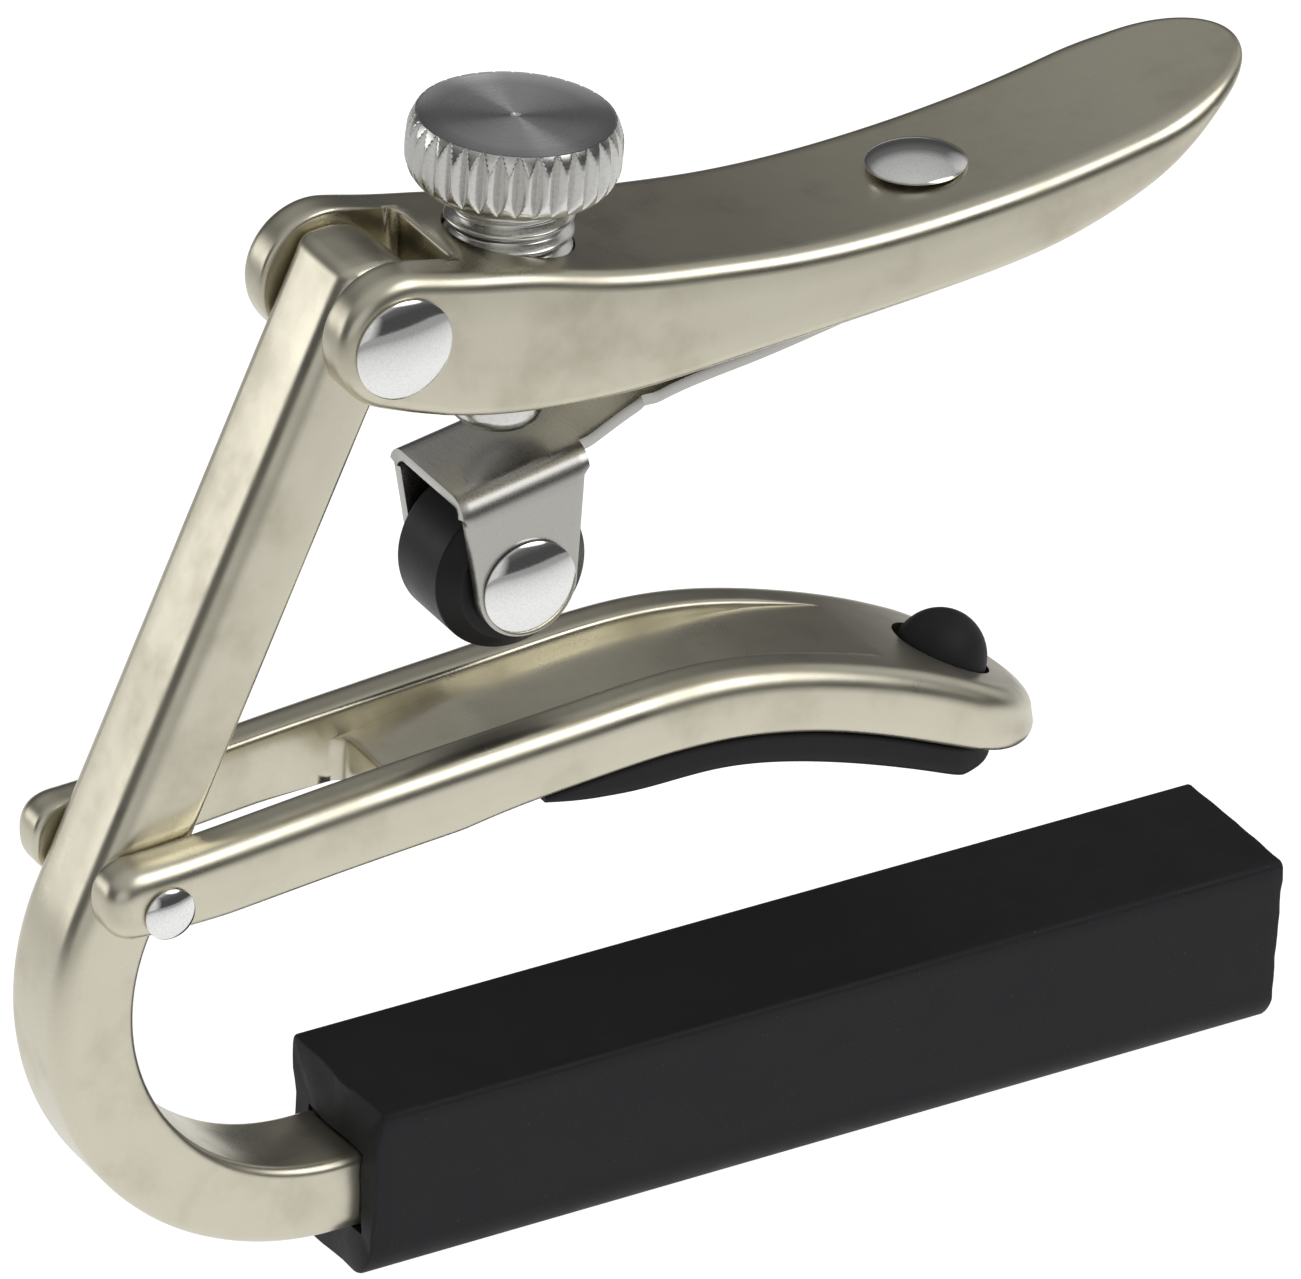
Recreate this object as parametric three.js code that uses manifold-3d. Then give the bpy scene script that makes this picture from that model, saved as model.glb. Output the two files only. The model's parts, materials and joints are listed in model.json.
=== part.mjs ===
// Lever capo for a guitar, open, with the jaw arm hanging free below the roller.
// Millimetres, +Z up. +X runs along the string bar towards its free end, +Y across the object.
// The origin is the middle of the flat top of the rubber sleeve, where the strings lie.
import * as THREE from 'three';
import { mergeVertices } from 'three/addons/utils/BufferGeometryUtils.js';
import Module from 'manifold-3d';

const wasm = await Module();
wasm.setup();

// ---------------------------------------------------------------- driving dimensions
const DEG = Math.PI / 180;

// Rubber sleeve on the string bar: flat on top, narrower and rounded underneath.
const SLEEVE_LENGTH = 56;
const SLEEVE_WIDTH = 10.3;
const SLEEVE_HEIGHT = 10.95;
const SLEEVE_FOOT_WIDTH = 8.6;
const SLEEVE_FOOT_RADIUS = 2.3;
const SLEEVE_FOOT_FLAT = 4.2;
const SLEEVE_FIT = 0.15;

// String bar: one flat brass bar bent into a J, with an eye at its upper end.
const BAR_WIDTH = 6;
const BAR_THICKNESS = 4.7;
const BAR_TOP = -3.45;
const BAR_EDGE = 0.8;
const BEND_RADIUS = 11.9;
const BEND_X = -29.5;
const LEG_LEAN = 25.5 * DEG;
const BAR_END_X = SLEEVE_LENGTH / 2 - 0.6;
const EYE_RADIUS = 3.4;
const EYE_SHOULDER = 2.2;

// Both pivots sit this far up the leg from the end of the bend and this far in from its outer face.
const ARM_PIVOT_UP = 2.4;
const LEVER_PIVOT_UP = 35.19;
const PIVOT_INSET = 2.93;

// Cam lever: a forked casting, dished on top, thin and rounded at its tip.
const LEVER_WIDTH = 11.6;
const LEVER_SLOT = 6.5;
const LEVER_CROTCH = 4.4;
const LEVER_EYE_RADIUS = 3.8;
const LEVER_EDGE = 0.4;
const LEVER_TIP = 53.1;
const LEVER_TIP_LENGTH = 8.3;
const LEVER_TIP_TOP = 3.0;

// Jaw arm: forked like the lever, with a shallow track on top for the roller.
const ARM_WIDTH = 11.6;
const ARM_SLOT = 6.2;
const ARM_CROTCH = 15;
const ARM_CROTCH_RADIUS = 1;
const ARM_EDGE = 0.7;
const ARM_TIP = 54.5;
const ARM_TIP_LENGTH = 5.2;
const ARM_TIP_TOP = -3.3;
const ARM_TIP_FOOT = -4.9;
const ARM_END_RADIUS = 2.05;
const TRACK_DEPTH = 1.05;
const TRACK_END = 42;
const KNOB_HOLE_X = 48.9;
const KNOB_HOLE_RADIUS = 2.9;
const KNOB_HOLE_LEAN = 26 * DEG;

// Rubber pad under the arm, held by a domed knob pushed up through the arm's hole.
const PAD_WIDTH = 10.8;
const PAD_START = 22.6;
const PAD_TIP = 51.9;
const PAD_TIP_LENGTH = 4.8;
const PAD_KNOB_RADIUS = 2.6;
const PAD_KNOB_RISE = 5.8;
const SEAT_GAP = 0.1;

// Rivets: radius of the shank, radius and height of the domed head.
const RUNNING_FIT = 0.08;
const LEVER_RIVET = { shank: 1.6, head: 2.8, rise: 0.85, tail: 2.5, tailRise: 0.7 };
const ARM_RIVET = { shank: 0.9, head: 1.45, rise: 0.6, tail: 1.4, tailRise: 0.5 };
const ROLLER_AXLE = { shank: 1.3, head: 2.7, rise: 0.85, tail: 2.3, tailRise: 0.6 };
const SPRING_RIVET = { shank: 1.3, head: 2.73, rise: 0.8, tail: 2.1, tailRise: 0.6 };
const SPRING_RIVET_X = 33.8;

// Thumbscrew: a knurled head on a threaded stud that leans towards the lever's tip.
// A smooth tip turns freely in the stud's end and bears on the roller spring.
const SCREW_X = 9.3;
const SCREW_Z = 1.8;
const SCREW_LEAN = 4.6 * DEG;
const STUD_RADIUS = 3.45;
const STUD_FIT = 0.09;
const STUD_END = -8.9;
const TIP_END = -10.95;
const TIP_RADIUS = 2.55;
const TIP_STEM_RADIUS = 1.2;
const TIP_STEM_TOP = -6;
const KNOB_RADIUS = 5.7;
const KNOB_TOP = 6.75;
const KNOB_FOOT = 2.95;
const KNOB_RIM = 0.42;

// Roller spring: one stamped strip, folded into a fork round the roller and riveted to the lever.
const SHEET = 0.7;
const FORK_WIDTH = 8.2;
const FORK_FOLD = 0.9;
const FORK_FRONT = 4.4;
const FORK_REAR = 11.9;
const FORK_TOP = -11.2;
const FORK_SLOPE = 10 * DEG;
const LEAF_WIDTH = 6.6;
const ROLLER_X = 8.2;
const ROLLER_Z = -17;
const EAR_RADIUS = 2.9;

// Roller: a black plastic wheel with a wide chamfer on both faces.
const ROLLER_RADIUS = 4.45;
const ROLLER_WIDTH = 6.2;
const ROLLER_CHAMFER = 0.9;

const ROUND = 40;

// ---------------------------------------------------------------- materials
const material = (color, roughness, metalness) => new THREE.MeshStandardMaterial({ color, roughness, metalness });
const NICKEL = material(0xc4bda6, 0.34, 1);
const POLISHED = material(0xdcdcd8, 0.1, 1);
const TURNED_STEEL = material(0xb4b4b2, 0.3, 1);
const SPRING_STEEL = material(0xa6a6a2, 0.38, 1);
const RUBBER = material(0x262728, 0.8, 0);
const HARD_PLASTIC = material(0x1c1c1e, 0.45, 0);

// ---------------------------------------------------------------- solids
// A closed three.js geometry as a solid that can be joined and cut.
function solid(geometry) {
  const bare = geometry.index ? geometry.toNonIndexed() : geometry.clone();
  bare.deleteAttribute('normal');
  bare.deleteAttribute('uv');
  const merged = mergeVertices(bare, 1e-4);
  return new wasm.Manifold(new wasm.Mesh({
    numProp: 3,
    vertProperties: new Float32Array(merged.attributes.position.array),
    triVerts: new Uint32Array(merged.index.array),
  }));
}

function named(name, body, finish) {
  const { vertProperties, triVerts } = body.getMesh();
  const geometry = new THREE.BufferGeometry();
  geometry.setAttribute('position', new THREE.BufferAttribute(new Float32Array(vertProperties), 3));
  geometry.setIndex(new THREE.BufferAttribute(new Uint32Array(triVerts), 1));
  geometry.computeVertexNormals();
  const mesh = new THREE.Mesh(geometry, finish);
  mesh.name = name;
  return mesh;
}

function groupAt(x, z, ...children) {
  const group = new THREE.Group();
  group.position.set(x, 0, z);
  group.add(...children);
  return group;
}

// A side outline, drawn in X and Z, made as wide as given across Y, its long edges eased.
function fromSide(outline, width, edge = 0, curveSegments = 10) {
  const geometry = new THREE.ExtrudeGeometry(outline, {
    depth: width - 2 * edge,
    curveSegments,
    bevelEnabled: edge > 0,
    bevelSize: edge,
    bevelThickness: edge,
    bevelOffset: -edge,
    bevelSegments: 2,
  });
  geometry.translate(0, 0, -(width - 2 * edge) / 2);
  geometry.rotateX(Math.PI / 2);
  return solid(geometry);
}

// A plan outline, drawn in X and Y, made from one height to another.
function fromAbove(outline, low, high, curveSegments = 12) {
  const geometry = new THREE.ExtrudeGeometry(outline, { depth: high - low, bevelEnabled: false, curveSegments });
  geometry.translate(0, 0, low);
  return solid(geometry);
}

// A turned piece: radius against distance along the given axis.
function turned(profile, axis = 'z', segments = ROUND) {
  const geometry = new THREE.LatheGeometry(profile.map(([r, h]) => new THREE.Vector2(r, h)), segments);
  if (axis === 'z') geometry.rotateX(Math.PI / 2);
  return solid(geometry);
}

const pinHole = (radius, length) => turned([[0, -length / 2], [radius, -length / 2], [radius, length / 2],
  [0, length / 2]], 'y');

const block = (x, y, z) => solid(new THREE.BoxGeometry(x, y, z));

// A tongue seen from above: straight sides and a half-oval tip.
function tongue(width, start, tip, tipLength) {
  const outline = new THREE.Shape();
  outline.moveTo(start, -width / 2);
  outline.lineTo(tip - tipLength, -width / 2);
  outline.absellipse(tip - tipLength, 0, tipLength, width / 2, -Math.PI / 2, Math.PI / 2);
  outline.lineTo(start, width / 2);
  return outline;
}

// A rivet along Y: domed head on the near side, lower dome where it is set on the far side.
function rivet({ shank, head, rise, tail, tailRise }, near, far) {
  const steps = 4;
  const profile = [[0, near - rise]];
  for (let i = 1; i <= steps; i++) {
    const a = (i / steps) * 90 * DEG;
    profile.push([head * Math.sin(a), near - rise * Math.cos(a)]);
  }
  profile.push([shank, near], [shank, far], [tail, far]);
  for (let i = 1; i <= steps; i++) {
    const a = (i / steps) * 90 * DEG;
    profile.push([Math.max(0, tail * Math.cos(a)), far + tailRise * Math.sin(a)]);
  }
  profile[profile.length - 1][0] = 0;
  return turned(profile, 'y', 32);
}

// ---------------------------------------------------------------- places on the bar
const legUp = new THREE.Vector2(Math.sin(LEG_LEAN), Math.cos(LEG_LEAN));
const legOut = new THREE.Vector2(-Math.cos(LEG_LEAN), Math.sin(LEG_LEAN));
const bendCentre = new THREE.Vector2(BEND_X, BAR_TOP + BEND_RADIUS);
const onLeg = (up, out) => bendCentre.clone().addScaledVector(legUp, up).addScaledVector(legOut, out);
const armPivot = onLeg(ARM_PIVOT_UP, BEND_RADIUS + BAR_THICKNESS - PIVOT_INSET);
const leverPivot = onLeg(LEVER_PIVOT_UP, BEND_RADIUS + BAR_THICKNESS - PIVOT_INSET);

// ---------------------------------------------------------------- string bar and sleeve
function stringBar() {
  const outer = BEND_RADIUS + BAR_THICKNESS;
  const shoulder = onLeg(LEVER_PIVOT_UP + EYE_SHOULDER, outer);
  const inset = BAR_THICKNESS - PIVOT_INSET;
  const eyeDip = Math.sqrt(EYE_RADIUS ** 2 - inset ** 2);
  const eyeStart = onLeg(LEVER_PIVOT_UP - eyeDip, BEND_RADIUS).sub(leverPivot).angle();
  const outline = new THREE.Shape();
  outline.moveTo(BAR_END_X, BAR_TOP);
  outline.absarc(bendCentre.x, bendCentre.y, BEND_RADIUS, -Math.PI / 2, Math.PI - LEG_LEAN, true);
  outline.absarc(leverPivot.x, leverPivot.y, EYE_RADIUS, eyeStart - 2 * Math.PI, Math.PI / 2 - LEG_LEAN, false);
  outline.lineTo(shoulder.x, shoulder.y);
  outline.absarc(bendCentre.x, bendCentre.y, outer, Math.PI - LEG_LEAN, Math.PI * 1.5, false);
  outline.lineTo(BAR_END_X, BAR_TOP - BAR_THICKNESS);

  const leverHole = pinHole(LEVER_RIVET.shank + RUNNING_FIT, BAR_WIDTH + 2)
    .translate([leverPivot.x, 0, leverPivot.y]);
  const armHole = pinHole(ARM_RIVET.shank + RUNNING_FIT, BAR_WIDTH + 2).translate([armPivot.x, 0, armPivot.y]);
  return fromSide(outline, BAR_WIDTH, BAR_EDGE, 14).subtract(leverHole).subtract(armHole);
}

// The sleeve's section is drawn across Y and Z and drawn out along X.
function stringSleeve() {
  const top = SLEEVE_WIDTH / 2;
  const foot = SLEEVE_FOOT_WIDTH / 2;
  const flat = SLEEVE_FOOT_FLAT / 2;
  const corner = 0.5;
  const section = new THREE.Shape();
  section.moveTo(-top + corner, 0);
  section.lineTo(top - corner, 0);
  section.quadraticCurveTo(top, 0, top - 0.05, -corner);
  section.lineTo(foot, -SLEEVE_HEIGHT + SLEEVE_FOOT_RADIUS);
  section.quadraticCurveTo(foot - 0.3, -SLEEVE_HEIGHT, flat, -SLEEVE_HEIGHT);
  section.lineTo(-flat, -SLEEVE_HEIGHT);
  section.quadraticCurveTo(-foot + 0.3, -SLEEVE_HEIGHT, -foot, -SLEEVE_HEIGHT + SLEEVE_FOOT_RADIUS);
  section.lineTo(-top + 0.05, -corner);
  section.quadraticCurveTo(-top, 0, -top + corner, 0);

  const side = BAR_WIDTH / 2 + SLEEVE_FIT;
  const high = BAR_TOP + SLEEVE_FIT;
  const low = BAR_TOP - BAR_THICKNESS - SLEEVE_FIT;
  const bore = new THREE.Path();
  bore.moveTo(-side, low);
  bore.lineTo(side, low);
  bore.lineTo(side, high);
  bore.lineTo(-side, high);
  bore.lineTo(-side, low);
  section.holes.push(bore);

  const geometry = new THREE.ExtrudeGeometry(section, { depth: SLEEVE_LENGTH, bevelEnabled: false,
    curveSegments: 6 });
  geometry.translate(0, 0, -SLEEVE_LENGTH / 2);
  geometry.rotateX(Math.PI / 2);
  geometry.rotateZ(Math.PI / 2);
  return solid(geometry);
}

// ---------------------------------------------------------------- cam lever, about its pivot
function camLever() {
  const outline = new THREE.Shape();
  outline.moveTo(0.5, LEVER_EYE_RADIUS);
  outline.splineThru([[5, 3.0], [11.5, 1.2], [20, -0.2], [28.5, -0.7], [37, -0.2], [45.5, 1.2],
    [LEVER_TIP, LEVER_TIP_TOP]].map(([x, z]) => new THREE.Vector2(x, z)));
  outline.lineTo(LEVER_TIP, LEVER_TIP_TOP - 1.1);
  outline.splineThru([[45.5, -1.9], [41, -3.7], [34, -5.0], [25, -5.8], [14, -6.3],
    [6, -5.6], [0.3, -LEVER_EYE_RADIUS]].map(([x, z]) => new THREE.Vector2(x, z)));
  outline.absarc(0.3, 0, LEVER_EYE_RADIUS, -Math.PI / 2, -Math.PI * 1.48, true);

  const plan = fromAbove(tongue(LEVER_WIDTH, -6, LEVER_TIP, LEVER_TIP_LENGTH), -12, 12);
  const slot = block(LEVER_CROTCH + 8, LEVER_SLOT, 20).translate([(LEVER_CROTCH - 8) / 2, 0, 0]);
  const rivetHole = pinHole(LEVER_RIVET.shank + 0.05, LEVER_WIDTH + 2);
  const screwHole = turned([[0, -20], [STUD_RADIUS + STUD_FIT, -20], [STUD_RADIUS + STUD_FIT, 8], [0, 8]])
    .rotate([0, SCREW_LEAN / DEG, 0]).translate([SCREW_X, 0, SCREW_Z]);
  const springHole = turned([[0, -12], [SPRING_RIVET.shank + 0.05, -12], [SPRING_RIVET.shank + 0.05, 6], [0, 6]])
    .translate([SPRING_RIVET_X, 0, 0]);
  return fromSide(outline, LEVER_WIDTH, LEVER_EDGE, 3).intersect(plan).subtract(slot)
    .subtract(rivetHole).subtract(screwHole).subtract(springHole);
}

// The spring rivet stands in the lever: domed on top, a lower dome under the leaf.
function springRivet() {
  const top = -0.15;
  const foot = -6.5;
  const upright = rivet(SPRING_RIVET, -top, -foot).rotate([-90, 0, 0]);
  return upright.translate([SPRING_RIVET_X, 0, 0]);
}

// ---------------------------------------------------------------- jaw arm, about its pivot
const ARM_TOP = [[0.2, 2.5], [10.3, 3.45], [19, 4.1], [29.5, 4.75], [36.6, 4.2], [44, 1.95],
  [50, -0.8], [ARM_TIP, ARM_TIP_TOP]];
const ARM_FOOT = [[50.7, -4.75], [45.1, -2.4], [40.2, -0.5], [35.3, 0.65], [30.4, 0.95], [25.6, 0.65],
  [19.6, 0.1], [13.6, -0.9], [7.7, -1.35], [0.2, -1.6]];
const points = (list) => list.map(([x, z]) => new THREE.Vector2(x, z));

function neckArm() {
  const outline = new THREE.Shape();
  outline.moveTo(...ARM_TOP[0]);
  outline.splineThru(points(ARM_TOP.slice(1)));
  outline.lineTo(ARM_TIP, ARM_TIP_FOOT);
  outline.splineThru(points(ARM_FOOT));
  outline.absarc(-1.15, 0.45, ARM_END_RADIUS, -Math.PI / 2, -Math.PI * 1.5, true);

  const plan = fromAbove(tongue(ARM_WIDTH, -8, ARM_TIP, ARM_TIP_LENGTH), -20, 20);
  const mouth = new THREE.Shape();
  const half = ARM_SLOT / 2;
  mouth.moveTo(-8, -half);
  mouth.lineTo(ARM_CROTCH - ARM_CROTCH_RADIUS, -half);
  mouth.absarc(ARM_CROTCH - ARM_CROTCH_RADIUS, -half + ARM_CROTCH_RADIUS, ARM_CROTCH_RADIUS, -Math.PI / 2, 0);
  mouth.absarc(ARM_CROTCH - ARM_CROTCH_RADIUS, half - ARM_CROTCH_RADIUS, ARM_CROTCH_RADIUS, 0, Math.PI / 2);
  mouth.lineTo(-8, half);
  const slot = fromAbove(mouth, -20, 20, 4);

  // The track's floor follows the arm's top, TRACK_DEPTH below it, and runs out before the hole.
  const track = new THREE.Shape();
  const floor = ARM_TOP.filter(([x]) => x > 5 && x < TRACK_END - 4).map(([x, z]) => [x, z - TRACK_DEPTH]);
  track.moveTo(...floor[0]);
  track.splineThru(points([...floor.slice(1), [TRACK_END, 2.75]]));
  track.lineTo(TRACK_END, 9);
  track.lineTo(floor[0][0], 9);
  const trackCut = fromSide(track, ARM_SLOT, 0, 4);

  const pinhole = pinHole(ARM_RIVET.shank + 0.05, ARM_WIDTH + 2);
  const knobHole = turned([[0, -8], [KNOB_HOLE_RADIUS, -8], [KNOB_HOLE_RADIUS, 8], [0, 8]], 'z', 32)
    .rotate([0, KNOB_HOLE_LEAN / DEG, 0]).translate([KNOB_HOLE_X, 0, -2.2]);
  return fromSide(outline, ARM_WIDTH, ARM_EDGE, 3).intersect(plan).subtract(slot).subtract(trackCut)
    .subtract(pinhole).subtract(knobHole);
}

// The pad follows the arm's underside and carries the knob that holds it in the arm's hole.
function neckPad() {
  const outline = new THREE.Shape();
  const seat = ARM_FOOT.filter(([x]) => x > PAD_START + 1 && x < PAD_TIP).reverse();
  outline.moveTo(PAD_START, 0.25);
  outline.splineThru(points([...seat.map(([x, z]) => [x, z - SEAT_GAP]), [PAD_TIP, -5.05 - SEAT_GAP]]));
  outline.lineTo(PAD_TIP, -6.0);
  outline.splineThru(points([[48.3, -5.75], [42.9, -3.5], [38, -1.75], [33, -0.75], [28.3, -0.75],
    [24.2, -0.25], [PAD_START, 0.1]]));
  const plan = fromAbove(tongue(PAD_WIDTH, PAD_START - 2, PAD_TIP, PAD_TIP_LENGTH), -20, 20);

  const straight = PAD_KNOB_RISE - PAD_KNOB_RADIUS;
  const knob = [[0, -1], [PAD_KNOB_RADIUS, -1], [PAD_KNOB_RADIUS, straight]];
  const steps = 6;
  for (let i = 1; i < steps; i++) {
    const a = (i / steps) * 90 * DEG;
    knob.push([PAD_KNOB_RADIUS * Math.cos(a), straight + PAD_KNOB_RADIUS * Math.sin(a)]);
  }
  knob.push([0, PAD_KNOB_RISE]);
  const plug = turned(knob, 'z', 32).rotate([0, KNOB_HOLE_LEAN / DEG, 0])
    .translate([KNOB_HOLE_X - 0.65, 0, -3.8]);
  return fromSide(outline, PAD_WIDTH, 0, 3).intersect(plan).add(plug);
}

// ---------------------------------------------------------------- thumbscrew, along its own axis
function thumbscrew() {
  const bore = TIP_STEM_RADIUS + RUNNING_FIT;
  const boreTop = TIP_STEM_TOP + 0.15;
  return turned([[0, boreTop], [bore, boreTop], [bore, STUD_END], [STUD_RADIUS - 0.5, STUD_END],
    [STUD_RADIUS, STUD_END + 0.5], [STUD_RADIUS, KNOB_FOOT], [KNOB_RADIUS - KNOB_RIM, KNOB_FOOT],
    [KNOB_RADIUS, KNOB_FOOT + KNOB_RIM], [KNOB_RADIUS, KNOB_TOP - KNOB_RIM], [KNOB_RADIUS - KNOB_RIM, KNOB_TOP],
    [0, KNOB_TOP]]);
}

function screwTip() {
  const shoulder = STUD_END - 0.1;
  return turned([[0, TIP_END], [1.3, TIP_END + 0.12], [2.1, TIP_END + 0.4], [TIP_RADIUS, TIP_END + 0.9],
    [TIP_RADIUS, shoulder], [TIP_STEM_RADIUS, shoulder], [TIP_STEM_RADIUS, TIP_STEM_TOP], [0, TIP_STEM_TOP]]);
}

// ---------------------------------------------------------------- roller spring, about the lever's pivot
// The fork is a bent channel, trimmed to the shape of its ears; the leaf runs on from its top plate.
function rollerSpring() {
  const half = FORK_WIDTH / 2;
  const channel = new THREE.Shape();
  const depth = 12;
  channel.moveTo(-half, -depth);
  channel.lineTo(-half, -FORK_FOLD);
  channel.absarc(-half + FORK_FOLD, -FORK_FOLD, FORK_FOLD, Math.PI, Math.PI / 2, true);
  channel.lineTo(half - FORK_FOLD, 0);
  channel.absarc(half - FORK_FOLD, -FORK_FOLD, FORK_FOLD, Math.PI / 2, 0, true);
  channel.lineTo(half, -depth);
  channel.lineTo(half - SHEET, -depth);
  channel.lineTo(half - SHEET, -SHEET);
  channel.lineTo(-half + SHEET, -SHEET);
  channel.lineTo(-half + SHEET, -depth);
  const long = 20;
  const geometry = new THREE.ExtrudeGeometry(channel, { depth: long, bevelEnabled: false, curveSegments: 4 });
  geometry.translate(0, 0, -long / 2);
  geometry.rotateX(Math.PI / 2);
  geometry.rotateZ(Math.PI / 2);
  geometry.rotateY(-FORK_SLOPE);
  const folded = solid(geometry).translate([FORK_FRONT, 0, FORK_TOP]);

  const rise = Math.tan(FORK_SLOPE);
  const ears = new THREE.Shape();
  const rearTop = FORK_TOP + rise * (FORK_REAR - FORK_FRONT);
  ears.moveTo(FORK_FRONT, FORK_TOP + 1);
  ears.lineTo(FORK_FRONT + 0.1, FORK_TOP - 0.6);
  ears.lineTo(ROLLER_X - EAR_RADIUS, ROLLER_Z - 0.3);
  ears.absarc(ROLLER_X, ROLLER_Z, EAR_RADIUS, Math.PI, Math.PI * 2, false);
  ears.lineTo(FORK_REAR, rearTop - 0.6);
  ears.lineTo(FORK_REAR, rearTop + 1);
  const fork = folded.intersect(fromSide(ears, FORK_WIDTH + 2, 0, 6));

  // The leaf's upper face: up from the fork, a bend, then on to the lever's underside.
  const face = [[FORK_REAR - 1, rearTop - rise], [FORK_REAR, rearTop], [15.7, -8.25], [22.2, -7.1],
    [30, -5.75], [36.4, -5.0]];
  const leafOutline = new THREE.Shape();
  leafOutline.moveTo(...face[0]);
  for (const [x, z] of face.slice(1)) leafOutline.lineTo(x, z);
  for (const [x, z] of face.slice().reverse()) leafOutline.lineTo(x + 0.1, z - SHEET);
  const hole = turned([[0, -4], [SPRING_RIVET.shank + 0.25, -4], [SPRING_RIVET.shank + 0.25, 4], [0, 4]], 'z', 32)
    .translate([SPRING_RIVET_X, 0, -6]);
  const axleHole = pinHole(ROLLER_AXLE.shank + 0.05, FORK_WIDTH + 2).translate([ROLLER_X, 0, ROLLER_Z]);
  return fork.add(fromSide(leafOutline, LEAF_WIDTH)).subtract(hole).subtract(axleHole);
}

function rollerWheel() {
  const half = ROLLER_WIDTH / 2;
  const bore = ROLLER_AXLE.shank + RUNNING_FIT;
  const rim = ROLLER_RADIUS - ROLLER_CHAMFER;
  return turned([[bore, -half], [rim, -half], [ROLLER_RADIUS, -half + ROLLER_CHAMFER],
    [ROLLER_RADIUS, half - ROLLER_CHAMFER], [rim, half], [bore, half], [bore, -half]], 'y');
}

// ---------------------------------------------------------------- assembly
const lever = groupAt(leverPivot.x, leverPivot.y,
  named('cam_lever', camLever(), NICKEL),
  named('lever_rivet', rivet(LEVER_RIVET, -LEVER_WIDTH / 2 - 0.05, LEVER_WIDTH / 2 + 0.05), POLISHED),
  named('spring_rivet', springRivet(), POLISHED),
  named('roller_spring', rollerSpring(), SPRING_STEEL));

const screw = groupAt(SCREW_X, SCREW_Z,
  named('thumbscrew', thumbscrew(), TURNED_STEEL),
  named('screw_tip', screwTip(), TURNED_STEEL));
screw.rotation.y = SCREW_LEAN;
lever.add(screw);

lever.add(groupAt(ROLLER_X, ROLLER_Z,
  named('roller', rollerWheel(), HARD_PLASTIC),
  named('roller_axle', rivet(ROLLER_AXLE, -FORK_WIDTH / 2 - 0.05, FORK_WIDTH / 2 + 0.05), POLISHED)));

const arm = groupAt(armPivot.x, armPivot.y,
  named('neck_arm', neckArm(), NICKEL),
  named('neck_pad', neckPad(), RUBBER),
  named('arm_rivet', rivet(ARM_RIVET, -ARM_WIDTH / 2 - 0.05, ARM_WIDTH / 2 + 0.05), POLISHED));

const capo = new THREE.Group();
capo.add(named('string_bar', stringBar(), NICKEL), named('string_sleeve', stringSleeve(), RUBBER), lever, arm);

export default capo;
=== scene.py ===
import json
import math

import bmesh
import bpy
import numpy as np
from mathutils import Matrix, Vector


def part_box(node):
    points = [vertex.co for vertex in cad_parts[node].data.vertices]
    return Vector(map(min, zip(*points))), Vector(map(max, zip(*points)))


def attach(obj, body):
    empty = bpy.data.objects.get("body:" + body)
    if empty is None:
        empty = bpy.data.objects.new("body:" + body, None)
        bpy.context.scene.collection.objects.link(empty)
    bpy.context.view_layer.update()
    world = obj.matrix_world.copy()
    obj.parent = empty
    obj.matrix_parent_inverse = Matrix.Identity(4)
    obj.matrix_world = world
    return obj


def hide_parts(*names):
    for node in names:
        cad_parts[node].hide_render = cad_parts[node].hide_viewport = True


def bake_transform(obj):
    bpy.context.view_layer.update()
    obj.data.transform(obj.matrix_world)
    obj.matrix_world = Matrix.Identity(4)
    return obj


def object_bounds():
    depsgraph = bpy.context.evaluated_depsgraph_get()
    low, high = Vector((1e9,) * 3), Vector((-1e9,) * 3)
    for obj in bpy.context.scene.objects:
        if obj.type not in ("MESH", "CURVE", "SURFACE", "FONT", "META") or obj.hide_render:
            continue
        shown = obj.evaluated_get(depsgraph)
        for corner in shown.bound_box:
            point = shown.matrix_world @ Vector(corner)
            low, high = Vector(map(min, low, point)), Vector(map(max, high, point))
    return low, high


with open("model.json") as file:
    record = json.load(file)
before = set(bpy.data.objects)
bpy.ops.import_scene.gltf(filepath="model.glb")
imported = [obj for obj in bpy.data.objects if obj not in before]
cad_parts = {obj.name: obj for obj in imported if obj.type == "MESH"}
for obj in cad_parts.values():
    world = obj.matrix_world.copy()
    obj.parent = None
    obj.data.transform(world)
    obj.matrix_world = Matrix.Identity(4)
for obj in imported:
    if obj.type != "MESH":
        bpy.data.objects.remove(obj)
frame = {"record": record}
CAD_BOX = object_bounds()
MM = 0.001
DEG = math.pi / 180
record = frame["record"]
JOINTS = {j["name"]: j for j in record["behaviour"]["joints"]}


def place(joint):
    """A joint's X and Z in mm."""
    x, _, z = JOINTS[joint]["pos_m"]
    return np.array([x, z]) / MM


LEVER = place("lever_hinge")
ARM = place("arm_hinge")
AXLE = place("roller_spin")
LEG = 25.5 * DEG
UP = np.array([math.sin(LEG), math.cos(LEG)])
OUT = np.array([-math.cos(LEG), math.sin(LEG)])
BEND = np.array([-29.5, 8.45])
BEND_R, BAR_T, BAR_W = 11.9, 4.7, 6.0
CASTING_HALF = 5.8


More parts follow.
